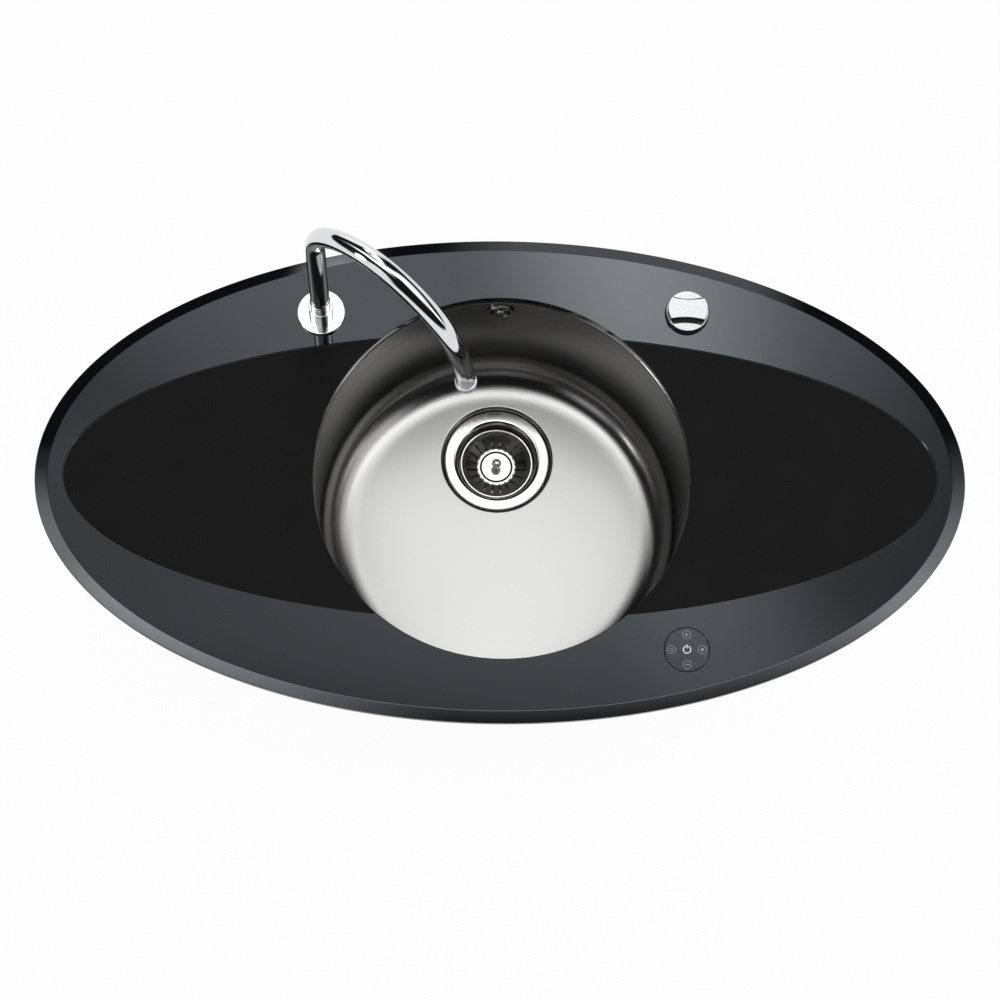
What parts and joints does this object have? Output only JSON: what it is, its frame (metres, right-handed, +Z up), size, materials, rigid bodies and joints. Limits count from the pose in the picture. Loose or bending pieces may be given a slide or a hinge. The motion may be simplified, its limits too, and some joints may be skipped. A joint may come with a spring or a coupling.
{
  "type": "kitchen sink",
  "caption": "Oval black glass inset kitchen sink with a round steel bowl, lift-up basket waste, turn knob, swan-neck spout, overflow and touch pad.",
  "frame": {"origin": "centre of the oval worktop cut-out, at the height of the worktop's surface, where the rim's seal rests", "axes": "+X along the sink to the user's right, +Y to the rear where the spout stands, +Z up"},
  "size_m": [0.9499, 0.518, 0.5605],
  "materials": {
    "black_glass": "gloss",
    "pad_glass": "gloss",
    "bowl_steel": "satin",
    "waste_steel": "polished",
    "zinc_steel": "zinc plated",
    "chrome": "polished",
    "brass": "machined",
    "black_rubber": "matte",
    "clear_bond": "matte",
    "black_plastic": "moulded",
    "grey_plastic": "moulded",
    "white_plastic": "moulded",
    "white_ink": "printed"
  },
  "bodies": {
    "sink": {"glass_top": "black_glass", "seal_strip": "black_rubber", "underframe": "zinc_steel", "bowl_bond": "clear_bond", "bowl": "bowl_steel", "bowl_clamps": "zinc_steel", "clamp_nuts": "zinc_steel", "fixing_brackets": "zinc_steel", "fixing_screws": "zinc_steel", "fixing_arms": "zinc_steel", "waste_flange": "waste_steel", "flange_seal": "black_rubber", "waste_gasket": "black_rubber", "waste_locknut": "white_plastic", "waste_body": "white_plastic", "cable_bracket": "black_plastic", "overflow_rosette": "chrome", "overflow_screw": "chrome", "overflow_seal": "black_rubber", "overflow_elbow": "white_plastic", "overflow_pipe": "grey_plastic", "union_nuts": "white_plastic", "knob_skirt": "black_plastic", "control_bush": "black_plastic", "control_washer": "black_rubber", "control_locknut": "black_plastic", "drum_housing": "black_plastic", "drum_cover": "black_plastic", "drum_screws": "zinc_steel", "tap_flange": "chrome", "tap_seal": "black_rubber", "tap_body": "chrome", "tap_grub_screw": "zinc_steel", "tap_rubber_washer": "black_rubber", "tap_steel_washer": "zinc_steel", "tap_locknut": "brass", "tap_inlet": "brass", "touch_pad": "pad_glass", "touch_icons": "white_ink", "pad_bond": "clear_bond", "sensor_housing": "black_plastic", "sensor_lid": "black_plastic"},
    "spout_arm": {"swivel_collar": "chrome", "spout_o_rings": "black_rubber", "spout": "chrome", "aerator_collar": "chrome", "aerator": "chrome"},
    "knob": {"knob_grip": "chrome", "knob_grub_screw": "zinc_steel", "control_shaft": "zinc_steel", "cable_drum": "black_plastic"},
    "lift_pin_body": {"lift_pin": "zinc_steel"},
    "crank": {"lift_crank": "zinc_steel", "crank_arm": "zinc_steel", "crank_clip": "zinc_steel"},
    "basket_body": {"basket": "waste_steel", "basket_disc": "waste_steel", "basket_pull": "chrome", "basket_seal": "black_rubber", "basket_stem_nut": "zinc_steel"}
  },
  "joints": [
    {"name": "spout_swivel", "type": "hinge", "parent": "sink", "child": "spout_arm", "pos_m": [-0.187, 0.1753, 0.03], "axis": [0, 0, 1], "range_deg": [-70, 70]},
    {"name": "knob_turn", "type": "hinge", "parent": "sink", "child": "knob", "pos_m": [0.1935, 0.178, 0.017], "axis": [0, 0, 1], "range_deg": [0, 90]},
    {"name": "lift_pin_slide", "type": "slide", "parent": "sink", "child": "lift_pin_body", "axis": [0, 0, 1], "range_m": [0, 0.01]},
    {"name": "crank_turn", "type": "hinge", "parent": "sink", "child": "crank", "pos_m": [0, 0.0685, -0.2459], "axis": [1, 0, 0], "range_deg": [0, 41.85]},
    {"name": "basket_lift_out", "type": "slide", "parent": "lift_pin_body", "child": "basket_body", "axis": [0, 0, 1], "range_m": [0, 0.06]}
  ],
  "couplings": [
    {"joint": "knob_turn", "follows": "lift_pin_slide", "rad_per_m": 157.07},
    {"joint": "crank_turn", "follows": "lift_pin_slide", "rad_per_m": 73.04}
  ]
}
